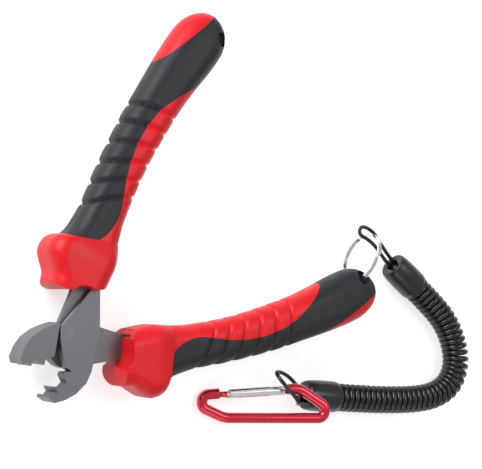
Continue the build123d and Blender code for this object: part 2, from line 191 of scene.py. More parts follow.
def prism(name, points, low, high):
    """An outline in millimetres made a closed solid between two heights."""
    bpy.ops.object.select_all(action="DESELECT")
    bpy.ops.mesh.primitive_circle_add(vertices=len(points), fill_type="NGON")
    obj = bpy.context.object
    obj.name = name
    for vertex, (x, y) in zip(obj.data.vertices, points):
        vertex.co = Vector((x, y, low)) * MM
    edit(obj)
    bpy.ops.mesh.extrude_region_move(TRANSFORM_OT_translate={"value": (0, 0, (high - low) * MM)})
    normals_out()
    return obj


def circle(radius, step, x=0.0, y=0.0):
    """Points every few degrees round a circle."""
    angles = [math.radians(a) for a in range(0, 360, step)]
    return [(x + radius * math.cos(a), y + radius * math.sin(a)) for a in angles]


def smooth_outline(points, steps=5):
    """Points along a smooth closed line that passes through every given point."""
    count = len(points)
    line = []
    for i in range(count):
        a, b, c, d = (Vector(points[j % count]) for j in (i - 1, i, i + 1, i + 2))
        for k in range(steps):
            t = k / steps
            line.append(0.5 * (2 * b + (c - a) * t + (2 * a - 5 * b + 4 * c - d) * t ** 2
                               + (3 * b - a - 3 * c + d) * t ** 3))
    return line


def on_handle(side):
    """From a handle's own frame, y outwards, to its place in the pliers."""
    turn = Matrix.Rotation(math.radians(side * OPEN_HALF_ANGLE), 4, "Z")
    flip = Matrix.Diagonal((1, side, 1, 1))
    return Matrix.Translation((0, 0, MID_Z * MM)) @ turn @ flip


def turned(name, profile, segments=96):
    """A round piece from its profile of (radius, height) in millimetres, about the Z axis."""
    mesh = bpy.data.meshes.new(name)
    edges = [(i, i + 1) for i in range(len(profile) - 1)]
    mesh.from_pydata([(r * MM, 0, z * MM) for r, z in profile], edges, [])
    obj = bpy.data.objects.new(name, mesh)
    bpy.context.scene.collection.objects.link(obj)
    screw = obj.modifiers.new("Screw", "SCREW")
    screw.steps = screw.render_steps = segments
    screw.use_merge_vertices = True
    screw.merge_threshold = 0.000005
    screw.use_smooth_shade = True
    apply_all(obj)
    edit(obj)
    bpy.ops.mesh.remove_doubles(threshold=MERGE)
    normals_out()
    return obj


def wire(name, points, radius, resolution):
    """A round wire along a smooth line guided by points in metres."""
    curve = bpy.data.curves.new(name, "CURVE")
    curve.dimensions = "3D"
    spline = curve.splines.new("NURBS")
    spline.points.add(len(points) - 1)
    for point, place in zip(spline.points, points):
        point.co = (*place, 1)
    spline.order_u = 3
    spline.use_endpoint_u = True
    spline.resolution_u = resolution
    curve.bevel_depth = radius
    curve.bevel_resolution = 6
    curve.use_fill_caps = True
    obj = bpy.data.objects.new(name, curve)
    bpy.context.scene.collection.objects.link(obj)
    return obj


def rounded_path(points, radii, steps=12):
    """Straight runs joined by tangent arcs."""
    path = [points[0]]
    for before, here, after, radius in zip(points, points[1:], points[2:], radii):
        back, on = (before - here).normalized(), (after - here).normalized()
        half = back.angle(on) / 2
        centre = here + (back + on).normalized() * radius / math.sin(half)
        first = (here + back * radius / math.tan(half) - centre).normalized()
        last = (here + on * radius / math.tan(half) - centre).normalized()
        path += [centre + first.slerp(last, i / steps) * radius for i in range(steps + 1)]
    return path + [points[-1]]


def as_mesh(obj):
    activate(obj)
    bpy.ops.object.convert(target="MESH")
    return bpy.context.object


def join(parts, name):
    activate(parts[0])
    for part in parts[1:]:
        part.select_set(True)
    bpy.ops.object.join()
    parts[0].name = name
    return parts[0]


def finish_piece(obj, material, body, node):
    """Gives a piece its finish and its body, and hides the CAD node that it stands for."""
    obj.data.materials.clear()
    obj.data.materials.append(material)
    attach(obj, body)
    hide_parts(node)
    return obj


def dress(node, material):
    """A CAD node that keeps its shape gets its finish."""
    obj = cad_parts[node]
    for slot in obj.material_slots:
        slot.link = "OBJECT"
        slot.material = material


# ---- materials ----------------------------------------------------------------------------------
def set_inputs(node, values):
    for label, value in values.items():
        node.inputs[label].default_value = value


def new_group(name, inputs, outputs):
    group = bpy.data.node_groups.new(name, "ShaderNodeTree")
    for label, kind, value in inputs:
        socket = group.interface.new_socket(name=label, in_out="INPUT", socket_type=kind)
        if value is not None:
            socket.default_value = value
    for label, kind in outputs:
        group.interface.new_socket(name=label, in_out="OUTPUT", socket_type=kind)
    return group, group.nodes.new("NodeGroupInput"), group.nodes.new("NodeGroupOutput")


def grain_group():
    """Fine moulded or blasted grain, with a broad soft patchiness."""
    group, start, end = new_group(
        "Surface Grain",
        [("Vector", "NodeSocketVector", None), ("Fine Scale", "NodeSocketFloat", 2600.0),
         ("Patch Scale", "NodeSocketFloat", 90.0)],
        [("Height", "NodeSocketFloat"), ("Mask", "NodeSocketFloat")])
    fine = group.nodes.new("ShaderNodeTexNoise")
    fine.inputs["Detail"].default_value = 3
    patch = group.nodes.new("ShaderNodeTexNoise")
    patch.inputs["Detail"].default_value = 4
    link = group.links.new
    link(start.outputs["Vector"], fine.inputs["Vector"])
    link(start.outputs["Fine Scale"], fine.inputs["Scale"])
    link(start.outputs["Vector"], patch.inputs["Vector"])
    link(start.outputs["Patch Scale"], patch.inputs["Scale"])
    link(fine.outputs["Fac"], end.inputs["Height"])
    link(patch.outputs["Fac"], end.inputs["Mask"])
    return group


def scratch_group():
    """Fine directional scratches, as grinding and handling leave."""
    group, start, end = new_group(
        "Ground Scratches",
        [("Vector", "NodeSocketVector", None), ("Scale", "NodeSocketFloat", 700.0)],
        [("Height", "NodeSocketFloat"), ("Mask", "NodeSocketFloat")])
    stretch = group.nodes.new("ShaderNodeMapping")
    stretch.inputs["Scale"].default_value = (0.08, 1.0, 0.3)
    lines = group.nodes.new("ShaderNodeTexNoise")
    lines.inputs["Detail"].default_value = 5
    lines.inputs["Roughness"].default_value = 0.7
    link = group.links.new
    link(start.outputs["Vector"], stretch.inputs["Vector"])
    link(stretch.outputs["Vector"], lines.inputs["Vector"])
    link(start.outputs["Scale"], lines.inputs["Scale"])
    link(lines.outputs["Fac"], end.inputs["Height"])
    link(lines.outputs["Fac"], end.inputs["Mask"])
    return group


def use_group(tree, group, values):
    """Places a shared effect on the piece's own coordinates."""
    node = tree.nodes.new("ShaderNodeGroup")
    node.node_tree = group
    set_inputs(node, values)
    coordinates = tree.nodes.new("ShaderNodeTexCoord")
    tree.links.new(coordinates.outputs["Object"], node.inputs["Vector"])
    return node


def ramp(tree, source, low, high):
    """Carries a mask into a colour between two colours."""
    node = tree.nodes.new("ShaderNodeValToRGB")
    for element, place, colour in zip(node.color_ramp.elements, (0.35, 0.65), (low, high)):
        element.position = place
        element.color = (*colour, 1)
    tree.links.new(source, node.inputs["Fac"])
    return node.outputs["Color"]


def spread(tree, source, low, high):
    """Carries a mask into a value between two values."""
    node = tree.nodes.new("ShaderNodeMapRange")
    set_inputs(node, {"From Min": 0.3, "From Max": 0.7, "To Min": low, "To Max": high})
    tree.links.new(source, node.inputs["Value"])
    return node.outputs["Result"]


def shade(colour, factor):
    """A colour made lighter or darker."""
    return tuple(min(1.0, channel * factor) for channel in colour)


RELIEF_HEIGHT = 0.2 * MM


def surface(name, group, values, colour, roughness, metallic=0.0, bump=0.05, contrast=0.12,
            coat=0.0, specular=0.5):
    """A finish: patchy colour, patchy roughness and a fine relief from one shared effect."""
    material = bpy.data.materials.new(name)
    material.use_nodes = True
    tree = material.node_tree
    shader = tree.nodes["Principled BSDF"]
    effect = use_group(tree, group, values)
    mask = effect.outputs["Mask"]
    tree.links.new(ramp(tree, mask, shade(colour, 1 - contrast), shade(colour, 1 + contrast)),
                   shader.inputs["Base Color"])
    tree.links.new(spread(tree, mask, roughness[0], roughness[1]), shader.inputs["Roughness"])
    relief = tree.nodes.new("ShaderNodeBump")
    set_inputs(relief, {"Strength": bump, "Distance": RELIEF_HEIGHT})
    tree.links.new(effect.outputs["Height"], relief.inputs["Height"])
    tree.links.new(relief.outputs["Normal"], shader.inputs["Normal"])
    set_inputs(shader, {"Metallic": metallic, "Coat Weight": coat, "Coat Roughness": 0.08,
                        "Specular IOR Level": specular})
    return material


def make_materials(scene):
    grain = grain_group()
    scratches = scratch_group()
    grips, steel = scene.pliers_grips, scene.pliers_steel
    lanyard, carabiner = scene.pliers_lanyard, scene.pliers_carabiner
    return {
        "jaw_steel": surface("Satin Jaw Steel", scratches, {"Scale": 900.0}, tuple(steel.steel),
                             (0.42, 0.54), metallic=0.9, bump=0.05, contrast=0.05),
        "rivet_steel": surface("Rivet Steel", scratches, {"Scale": 1500.0}, (0.42, 0.43, 0.45),
                               (0.28, 0.4), metallic=1.0, bump=0.08),
        "red_grip": surface("Red Grip Plastic", grain, {"Fine Scale": 2400.0, "Patch Scale": 60.0},
                            tuple(grips.red), (0.34, 0.46), bump=0.08, contrast=0.04, specular=0.32),
        "black_grip": surface("Black Grip Rubber", grain, {"Fine Scale": 2800.0, "Patch Scale": 70.0},
                              tuple(grips.black), (0.40, 0.54), bump=0.14, contrast=0.14, specular=0.36),
        "ring_nickel": surface("Nickel Plate", scratches, {"Scale": 2200.0}, (0.78, 0.77, 0.76),
                               (0.10, 0.22), metallic=1.0, bump=0.05, contrast=0.08),
        "coil_black": surface("Coil Jacket", grain, {"Fine Scale": 900.0, "Patch Scale": 160.0},
                              tuple(lanyard.plastic), (0.16, 0.28), bump=0.04, contrast=0.2),
        "cap_black": surface("Cap Moulding", grain, {"Fine Scale": 1600.0, "Patch Scale": 80.0},
                             shade(tuple(lanyard.plastic), 1.6), (0.22, 0.34), bump=0.06, contrast=0.2),
        "loop_black": surface("Coated Wire", grain, {"Fine Scale": 1500.0, "Patch Scale": 200.0},
                              tuple(lanyard.plastic), (0.2, 0.32), bump=0.05, contrast=0.2),
        "ferrule_metal": surface("Crimped Ferrule", scratches, {"Scale": 1200.0}, (0.6, 0.6, 0.62),
                                 (0.3, 0.42), metallic=1.0),
        "carabiner_red": surface("Red Anodised Bar", scratches, {"Scale": 1300.0},
                                 tuple(carabiner.anodised), (0.20, 0.26), metallic=0.7, bump=0.008,
                                 contrast=0.04, coat=0.8),
        "gate_steel": surface("Polished Gate Tube", scratches, {"Scale": 1800.0}, (0.90, 0.90, 0.91),
                              (0.16, 0.24), metallic=1.0, bump=0.01, contrast=0.03),
        "washer_black": surface("Black Gate Band", grain, {"Fine Scale": 1800.0, "Patch Scale": 300.0},
                                (0.012, 0.012, 0.013), (0.35, 0.5), bump=0.08),
    }


MATERIALS = {}


# ---- grips --------------------------------------------------------------------------------------
# Stations along a handle in its own frame, mm: x, inner edge, outer edge, thickness, corner radius.
GRIP_STATIONS = [
    (30.0, 0.3, 25.0, 19.6, 7.0), (35.0, 0.4, 25.2, 19.8, 7.0), (38.5, 0.6, 24.0, 19.2, 7.0),
    (42.0, 0.9, 22.8, 18.2, 6.9), (47.0, 1.6, 22.2, 17.4, 6.9), (54.0, 2.9, 21.9, 17.0, 7.0),
    (68.0, 3.9, 22.9, 17.0, 7.2), (82.0, 4.0, 23.3, 17.0, 7.4), (96.0, 3.0, 23.2, 17.0, 7.6),
    (110.0, 1.6, 22.3, 17.4, 7.8), (122.0, -0.6, 21.5, 18.2, 8.2), (133.0, -3.2, 20.6, 19.0, 8.8),
    (142.0, -4.7, 19.4, 19.0, 9.2), (147.0, -4.1, 17.9, 18.2, 8.9), (150.5, -2.4, 16.0, 16.6, 8.1),
    (153.0, 0.0, 13.8, 13.6, 6.6), (154.8, 2.8, 11.2, 9.0, 4.2), (155.5, 5.0, 9.2, 4.2, 2.0),
]
# Grooves across a grip: x at the inner edge, and how far it falls back for each mm outwards.
GROOVES = [(105.0, 0.12), (97.0, 0.16), (89.4, 0.24), (81.8, 0.32), (74.2, 0.40), (66.6, 0.50)]
# Plan of the black rubber, mm: along the red strip, round the tip, and along the red patch.
COVER_OUTLINE = [
    (36.0, 34.0), (36.2, 26.0), (37.4, 19.6), (40.4, 13.4), (46.0, 9.6), (54.0, 8.2), (60.0, 9.3),
    (66.0, 11.3), (72.0, 13.1), (79.0, 14.3), (87.0, 14.9), (95.0, 14.2), (103.5, 12.2), (112.0, 7.8),
    (120.0, 2.6), (128.0, -3.6), (133.0, -9.0), (150.0, -12.0), (160.0, -4.0), (160.5, 4.0),
    (155.5, 7.2), (148.0, 10.2), (140.0, 13.6), (132.0, 17.0), (125.0, 20.4), (119.0, 25.0),
    (114.5, 34.0),
]


GRIP_GRID = (230, 96)        # divisions along and round
COLLAR_GRID = (60, 80)
COLLAR_EDGE = 0.9            # rounding, mm
FLAT_SHARE = 0.2             # of the points round a section, how many lie on its straight sides
TIP_BUNCHING = 1.25          # above 1, the columns gather towards the last station
GROOVE_FOOT = 3.0            # y where the places in GROOVES are measured, mm
INNER_SIDE, OUTER_SIDE = 4.0, 23.0   # y where the change across a grip starts and ends, mm
GROOVE_CURVE = 0.35          # how much more a groove falls back at the outer edge
GROOVE_DEEPENING = 0.25      # how much deeper it is there
SCALLOP_START = 0.25         # share of the way outwards where the scallops start
SCALLOP_DEPTH = 0.495        # mm


def station_at(stations, x):
    """The grip's edges, thickness and corner at one place along it."""
    xs = [row[0] for row in stations]
    x = min(max(x, xs[0]), xs[-1])
    i = max(j for j in range(len(xs) - 1) if xs[j] <= x + 1e-9)
    a, b, c, d = (stations[min(max(j, 0), len(xs) - 1)] for j in (i - 1, i, i + 1, i + 2))
    t = (x - b[0]) / (c[0] - b[0])
    values = []
    for k in range(1, 5):
        slope_b = (c[k] - a[k]) / max(c[0] - a[0], 1e-6) * (c[0] - b[0])
        slope_c = (d[k] - b[k]) / max(d[0] - b[0], 1e-6) * (c[0] - b[0])
        h = (2 * t ** 3 - 3 * t ** 2 + 1, t ** 3 - 2 * t ** 2 + t, 3 * t ** 2 - 2 * t ** 3, t ** 3 - t ** 2)
        values.append(h[0] * b[k] + h[1] * slope_b + h[2] * c[k] + h[3] * slope_c)
    return values


def section_point(inner, outer, height, corner, v):
    """A point and its outward direction on a rounded rectangle, v from 0 to 1 round it."""
    width = outer - inner
    corner = min(corner, 0.49 * width, 0.49 * height)
    straight_y, straight_z = width / 2 - corner, height / 2 - corner
    middle = (inner + outer) / 2
    side = int(v * 4) % 4
    share = v * 4 - int(v * 4)
    if share < FLAT_SHARE:               # the straight run that leads into this corner
        ny, nz = [(1, 0), (0, 1), (-1, 0), (0, -1)][side]
        along = share / FLAT_SHARE * 2 - 1
        if side % 2 == 0:
            return ny * width / 2 + middle, ny * along * straight_z, ny, nz
        return -nz * along * straight_y + middle, nz * height / 2, ny, nz
    angle = side * math.pi / 2 + (share - FLAT_SHARE) / (1 - FLAT_SHARE) * math.pi / 2
    ny, nz = math.cos(angle), math.sin(angle)
    corner_y, corner_z = [(1, 1), (-1, 1), (-1, -1), (1, -1)][side]
    return corner_y * straight_y + corner * ny + middle, corner_z * straight_z + corner * nz, ny, nz


def wrapped(name, stations, grid, relief):
    """A flat grid wrapped round the stations, with its seam merged and its ends closed."""
    bpy.ops.object.select_all(action="DESELECT")
    bpy.ops.mesh.primitive_grid_add(x_subdivisions=grid[0], y_subdivisions=grid[1], size=2)
    obj = bpy.context.object
    obj.name = name
    first, last = stations[0][0], stations[-1][0]
    for vertex in obj.data.vertices:
        u, v = (vertex.co.x + 1) / 2, (vertex.co.y + 1) / 2
        u = 1 - (1 - u) ** TIP_BUNCHING
        x = first + u * (last - first)
        inner, outer, thick, corner = station_at(stations, x)
        y, z, ny, nz = section_point(inner, outer, thick, corner, v % 1.0)
        sink = relief(x, y)
        vertex.co = Vector((x, y - ny * sink, z - nz * sink)) * MM
    edit(obj)
    bpy.ops.mesh.remove_doubles(threshold=2 * MERGE)
    bpy.ops.mesh.select_all(action="DESELECT")
    bpy.ops.mesh.select_non_manifold()
    bpy.ops.mesh.edge_face_add()
    normals_out()
    return obj


def groove_relief(settings):
    """How deep the surface sinks at each place: grooves, and scallops on the outer side."""
    depth, width = settings.groove_depth / MM, settings.groove_width / MM

    def relief(x, y):
        sink = 0.0
        outward = min(max((y - INNER_SIDE) / (OUTER_SIDE - INNER_SIDE), 0.0), 1.0)
        curved = (y - GROOVE_FOOT) * (1 + GROOVE_CURVE * outward)
        lines = [start - slope * curved for start, slope in GROOVES]
        for line in lines:
            away = (x - line) / width
            sink += depth * (1 + GROOVE_DEEPENING * outward) * math.exp(-away * away)
        if lines[-1] < x < lines[0]:
            for upper, lower in zip(lines, lines[1:]):
                if lower <= x <= upper:
                    part = (x - lower) / (upper - lower)
                    swell = math.sin(math.pi * part ** 0.8)
                    sink += SCALLOP_DEPTH * max(outward - SCALLOP_START, 0) * (1 - swell)
        return sink

    return relief


def no_relief(x, y):
    return 0.0


# Finger guard, in the same columns as the grip, and its plan with the mouth for the shank.
COLLAR_STATIONS = [
    (16.6, -1.0, 19.8, 22.4, 6.0), (18.6, -1.0, 21.3, 23.0, 6.4), (22.2, -1.1, 22.6, 23.2, 6.8),
    (25.2, -1.2, 25.5, 23.2, 7.0), (28.6, -1.2, 28.4, 23.2, 7.2), (32.2, -1.2, 28.9, 23.2, 7.2),
    (35.4, -1.1, 28.0, 22.8, 7.0), (38.0, -0.8, 25.8, 21.8, 6.8), (41.0, 0.0, 23.8, 20.0, 6.4),
    (44.4, 0.9, 22.4, 17.8, 6.4),
]
COLLAR_OUTLINE = [
    (18.6, 13.4), (17.7, 16.4), (17.7, 19.6), (19.2, 23.0), (25.0, 33.0), (33.0, 34.0), (37.6, 33.0),
    (37.2, 27.0), (38.2, 21.4), (40.6, 14.6), (43.0, 8.0), (46.0, -6.0), (30.0, -6.0), (27.2, -1.0),
    (25.0, 1.0), (23.4, 4.0), (22.6, 8.8), (20.8, 12.0),
]


def grip_pieces(scene, side, label):
    """Red core with its finger guard, and the black rubber let into it."""
    settings = scene.pliers_grips
    shell = wrapped(f"{label}_shell", GRIP_STATIONS, GRIP_GRID, groove_relief(settings))
    hole = prism("hole", circle(HOLE_RADIUS, 8, HOLE_X, HOLE_Y), -20, 20)
    boolean(shell, hole, "DIFFERENCE")
    black = copy_of(shell, f"{label}_grip_rubber")
    collar = wrapped("collar", COLLAR_STATIONS, COLLAR_GRID, no_relief)
    cuts = ((black, COVER_OUTLINE, "INTERSECT"), (shell, COVER_OUTLINE, "DIFFERENCE"),
            (collar, COLLAR_OUTLINE, "INTERSECT"))
    for piece, outline, operation in cuts:
        boolean(piece, prism("plan", smooth_outline(outline), -CUT_THROUGH, CUT_THROUGH), operation)
    for piece in (black, shell):
        bevel(piece, settings.seam_bevel, 2, 50)
    bevel(collar, COLLAR_EDGE * MM, 4, 40)
    red = join([shell, collar], f"{label}_grip_red")
    body = f"{label}_half"
    for piece, slot, node in ((red, "red_grip", "core"), (black, "black_grip", "cover")):
        settle(piece, on_handle(side))
        if side < 0:
            edit(piece)
            bpy.ops.mesh.flip_normals()
            done()
        smooth(piece, 40)
        finish_piece(piece, MATERIALS[slot], body, f"{label}_grip_{node}")


# ---- steel --------------------------------------------------------------------------------------
RIVET_COVER = 0.6            # thickness of steel over the rivet's head, mm
RIVET_COVER_RADIUS = 4.95
RIVET_CUT_RADIUS = 10.0      # wider than the rivet's head


def round_plug(radius, low, high):
    """A short cylinder on the pivot's axis, in millimetres."""
    return prism("plug", circle(radius, 5), low, high)


def jaw_pieces(scene):
    """Both steel halves with broken edges. The rivet's head is ground into the upper half's face."""
    for label in ("upper", "lower"):
        half = node_copy(f"{label}_jaw_half", f"{label}_jaw_steel")
        if label == "upper":
            boolean(half, round_plug(RIVET_COVER_RADIUS, STEEL_TOP - RIVET_COVER, STEEL_TOP), "UNION")
            whole_faces(half)
        bevel(half, scene.pliers_steel.edge_bevel, 2, 30)
        smooth(half, 40)
        flat_faces(half)
        finish_piece(half, MATERIALS["jaw_steel"], f"{label}_half", f"{label}_jaw_half")
    rivet = node_copy("pivot_rivet", "hidden_head_rivet")
    cut = round_plug(RIVET_CUT_RADIUS, STEEL_TOP - RIVET_COVER - 0.1, STEEL_TOP + 1)
    boolean(rivet, cut, "DIFFERENCE")
    smooth(rivet, 30)
    finish_piece(rivet, MATERIALS["jaw_steel"], "lower_half", "pivot_rivet")


# ---- lanyard ------------------------------------------------------------------------------------
# The route of the coil's middle line, in metres.
COIL_Z = 0.0072
COIL_ROUTE = [
    (0.1620, -0.0916, COIL_Z), (0.1654, -0.1040, COIL_Z), (0.1674, -0.1165, COIL_Z),
    (0.1654, -0.1285, COIL_Z), (0.1596, -0.1384, COIL_Z), (0.1500, -0.1426, COIL_Z),
    (0.1396, -0.1404, COIL_Z), (0.1294, -0.1342, COIL_Z), (0.1172, -0.1246, COIL_Z),
    (0.1051, -0.1142, COIL_Z), (0.0935, -0.1036, COIL_Z),
]
# Middle lines of the two wire loops, mm, from inside a cap round and back into it.
RING_LOOP = [
    (159.2, -75.6, 7.2), (157.9, -70.9, 7.3), (154.9, -58.0, 11.2), (153.6, -51.9, 12.6),
    (150.1, -46.5, 12.2), (146.3, -48.9, 12.2), (149.9, -55.0, 12.3), (152.4, -62.0, 10.6),
    (155.0, -71.7, 7.3), (156.3, -76.4, 7.2),
]
CARABINER_LOOP = [
    (82.8, -90.8, 7.2), (80.2, -88.5, 7.2), (77.6, -77.2, 9.1), (72.1, -70.6, 11.7), (69.7, -74.1, 16.6),
    (70.4, -82.6, 18.5), (72.0, -89.4, 15.2), (73.9, -91.2, 9.3), (77.3, -91.8, 7.2), (80.1, -94.3, 7.2),
]
LOOP_RADIUS = 0.9
COIL_SIDES = 16              # points on each turn of the coil
# A cap from its mouth at the coil to its closed nose, mm: radius, height.
CAP_PROFILE = [
    (5.4, 0.0), (6.5, 0.0), (6.8, 0.25), (6.8, 1.1), (6.95, 1.35), (7.12, 1.7), (7.2, 3.0), (7.2, 9.5),
    (7.1, 12.5), (6.9, 15.2), (6.6, 16.9), (6.25, 17.6), (5.8, 17.95), (5.2, 18.0), (3.2, 18.0),
    (3.0, 17.8), (3.0, 16.4), (0.0, 16.4),
]


def route_line():
    """Points read off the smooth route."""
    guide = wire("route_guide", COIL_ROUTE, 0, resolution=24)
    mesh = bpy.data.meshes.new_from_object(guide)
    line = [vertex.co.copy() for vertex in mesh.vertices]
    bpy.data.objects.remove(guide, do_unlink=True)
    bpy.data.meshes.remove(mesh)
    return line


def place_on(line, distance):
    """Place and direction at a distance along a line, going straight on past its ends."""
    run = 0.0
    for a, b in zip(line, line[1:]):
        step = (b - a).length
        if run + step >= distance or b is line[-1]:
            return a + (b - a).normalized() * (distance - run), (b - a).normalized()
        run += step


def coil_piece(scene):
    """The coil wound round its route, with its start and its wire's true length."""
    settings = scene.pliers_lanyard
    line = route_line()
    total = sum((b - a).length for a, b in zip(line, line[1:]))
    up = Vector((0, 0, 1))
    radius = (settings.coil_diameter - settings.wire_diameter) / 2
    inset = math.cos(math.pi / COIL_SIDES)       # the smooth line's radius as a share of its points'
    count = settings.turns * COIL_SIDES
    points = []
    for i in range(count + 1):
        share = i / count
        place, direction = place_on(line, share * total)
        aside = direction.cross(up).normalized()
        turn = 2 * math.pi * share * settings.turns
        points.append(place + (aside * math.cos(turn) + up * math.sin(turn)) * (radius / inset))
    coil = wire("lanyard_coil", points, settings.wire_diameter / 2, resolution=3)
    coil.data.bevel_resolution = 4
    length = sum((b - a).length for a, b in zip(points, points[1:])) * inset
    finish_piece(coil, MATERIALS["coil_black"], "lower_half", "coil_cord")
    return coil, points[0], length


def cap_frame(near, following):
    """Place of a cap: z leaves the coil, x is up."""
    out = (Vector(near) - Vector(following)).normalized()
    up = Vector((0, 0, 1))
    aside = out.cross(up)
    frame_axes = Matrix((up, aside, out)).transposed().to_4x4()
    return Matrix.Translation(near) @ frame_axes


def cap_pieces():
    """Moulded caps: a rim against the coil, a slight barrel and a softly rounded nose."""
    caps = []
    for name, near, following in (("ring_end_cap", COIL_ROUTE[0], COIL_ROUTE[1]),
                                  ("carabiner_end_cap", COIL_ROUTE[-1], COIL_ROUTE[-2])):
        cap = turned(f"{name}_moulding", CAP_PROFILE)
        settle(cap, cap_frame(near, following))
        smooth(cap, 50)
        finish_piece(cap, MATERIALS["cap_black"], "lower_half", name)
        caps.append(cap)
    return caps


# The carabiner's bar in its own plane, mm: x from its near end, y towards the gate.
BAR_ROUTE = [
    (10.0, 10.6), (2.4, 10.0), (2.7, 4.4), (13.0, 0.0),
    (60.1, 0.0), (60.1, 5.6), (47.5, 13.3), (42.1, 12.7),
]
BAR_RADII = [3.2, 3.2, 12.0, 3.3, 3.3, 9.0]
BAR_RADIUS = 2.4
BAR_EDGE = 0.35              # rounding of the bar's two ends, mm
NOSE_END = (13.2, 10.5)
GATE_END = (39.0, 12.3)
END_BLOCK = (4.6, 3.0, 4.0)  # half sizes of the room kept round each end's own shape, mm
FAR_END = (79.456, -103.386, 18.12)
CARABINER_LENGTH = 62.5
CARABINER_HEADING = -38.6    # degrees from the X axis
CARABINER_RISE = 15.1175     # degrees above the surface, towards the far end
# CAD nodes that keep their shape, and their finishes.
LANYARD_FITTINGS = {
    "ring_end_ferrule": "ferrule_metal", "carabiner_end_ferrule": "ferrule_metal",
    "carabiner_gate": "gate_steel", "gate_pin": "rivet_steel", "nose_pin": "gate_steel",
    "gate_plunger": "ferrule_metal", "gate_spring": "ring_nickel", "gate_washer": "washer_black",
}


def carabiner_place():
    """From the carabiner's own plane to where it lies."""
    far = Matrix.Translation(Vector(FAR_END) * MM)
    turn = Matrix.Rotation(math.radians(CARABINER_HEADING), 4, "Z")
    rise = Matrix.Rotation(math.radians(-CARABINER_RISE), 4, "Y")
    return far @ turn @ rise @ Matrix.Translation((-CARABINER_LENGTH * MM, 0, 0))


def carabiner_piece():
    """The bent bar, with the slotted ends that the gate turns on and closes on."""
    place = carabiner_place()
    along, across, high = END_BLOCK
    route = [Vector((x, y, 0)) * MM for x, y in BAR_ROUTE]
    path = rounded_path(route, [radius * MM for radius in BAR_RADII])
    bar = as_mesh(wire("carabiner_bar", path, BAR_RADIUS * MM, resolution=4))
    bevel(bar, BAR_EDGE * MM, 3, 60)
    settle(bar, place)
    pieces = []
    for name, (x, y) in (("gate_end", GATE_END), ("nose_end", NOSE_END)):
        tongue = node_copy("carabiner_body", name)
        block = prism("block", [(x - along, y - across), (x + along, y - across), (x + along, y + across),
                                (x - along, y + across)], -high, high)
        settle(block, place)
        boolean(tongue, block, "INTERSECT")
        pieces.append(tongue)
    bar = join(pieces + [bar], "carabiner_bar")
    smooth(bar, 40)
    return finish_piece(bar, MATERIALS["carabiner_red"], "lower_half", "carabiner_body")


def lanyard_pieces(scene):
    """The coil and everything on it."""
    coil, start, length = coil_piece(scene)
    on_cord = cap_pieces()
    for node, points in (("ring_wire_loop", RING_LOOP), ("carabiner_wire_loop", CARABINER_LOOP)):
        line = [Vector(point) * MM for point in points]
        loop = wire(f"{node}_bent", line, LOOP_RADIUS * MM, resolution=16)
        on_cord.append(finish_piece(loop, MATERIALS["loop_black"], "lower_half", node))
    on_cord.append(carabiner_piece())
    for node, slot in LANYARD_FITTINGS.items():
        dress(node, MATERIALS[slot])
        on_cord.append(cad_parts[node])


# ---- stage --------------------------------------------------------------------------------------
FLOOR_LIFT = 0.62            # glow that the floor shows to the camera and in reflections
WORLD_LIGHT = 0.30
WORLD_REFLECTED = 0.55


def math_node(tree, operation, first, second):
    """A maths node of two inputs, each a socket or a value."""
    node = tree.nodes.new("ShaderNodeMath")
    node.operation = operation
    for socket, source in zip(node.inputs, (first, second)):
        if isinstance(source, float):
            socket.default_value = source
        else:
            tree.links.new(source, socket)
    return node.outputs[0]


def floor_material():
    """Pale floor that is white to the camera, but still takes shadows."""
    material = bpy.data.materials.new("Pale Floor")
    material.use_nodes = True
    tree = material.node_tree
    shader = tree.nodes["Principled BSDF"]
    set_inputs(shader, {"Base Color": (0.86, 0.86, 0.87, 1), "Roughness": 0.6,
                        "Emission Color": (1, 1, 1, 1)})
    rays = tree.nodes.new("ShaderNodeLightPath").outputs
    seen = math_node(tree, "MAXIMUM", rays["Is Camera Ray"], rays["Is Glossy Ray"])
    seen = math_node(tree, "MAXIMUM", seen, rays["Is Transmission Ray"])
    tree.links.new(math_node(tree, "MULTIPLY", seen, FLOOR_LIFT), shader.inputs["Emission Strength"])
    return material


def world_light():
    """White to the camera, and softer light on the object."""
    world = bpy.data.worlds.new("Studio")
    bpy.context.scene.world = world
    world.use_nodes = True
    tree = world.node_tree
    background = tree.nodes["Background"]
    background.inputs["Color"].default_value = (1, 1, 1, 1)
    rays = tree.nodes.new("ShaderNodeLightPath").outputs
    mirrored = tree.nodes.new("ShaderNodeMapRange")
    set_inputs(mirrored, {"To Min": WORLD_LIGHT, "To Max": WORLD_REFLECTED})
    tree.links.new(rays["Is Glossy Ray"], mirrored.inputs["Value"])
    strength = math_node(tree, "MAXIMUM", rays["Is Camera Ray"], mirrored.outputs["Result"])
    tree.links.new(strength, background.inputs["Strength"])


def soft_light(name, place, aim, size, power):
    """A soft box: sizes in metres, power in watts."""
    light = bpy.data.lights.new(name, "AREA")
    light.shape = "RECTANGLE"
    light.size, light.size_y = size
    light.energy = power
    obj = bpy.data.objects.new(name, light)
    obj.location = place
    direction = Vector(aim) - Vector(place)
    obj.rotation_euler = direction.to_track_quat("-Z", "Y").to_euler()
    bpy.context.scene.collection.objects.link(obj)


CAMERA_LENS = 98.3
CAMERA_PLACE = Vector((-0.1678, 0.1551, 0.4998))
CAMERA_RIGHT = Vector((0.678, -0.5037, 0.5354))
CAMERA_BACK = Vector((-0.4523, 0.2883, 0.844))


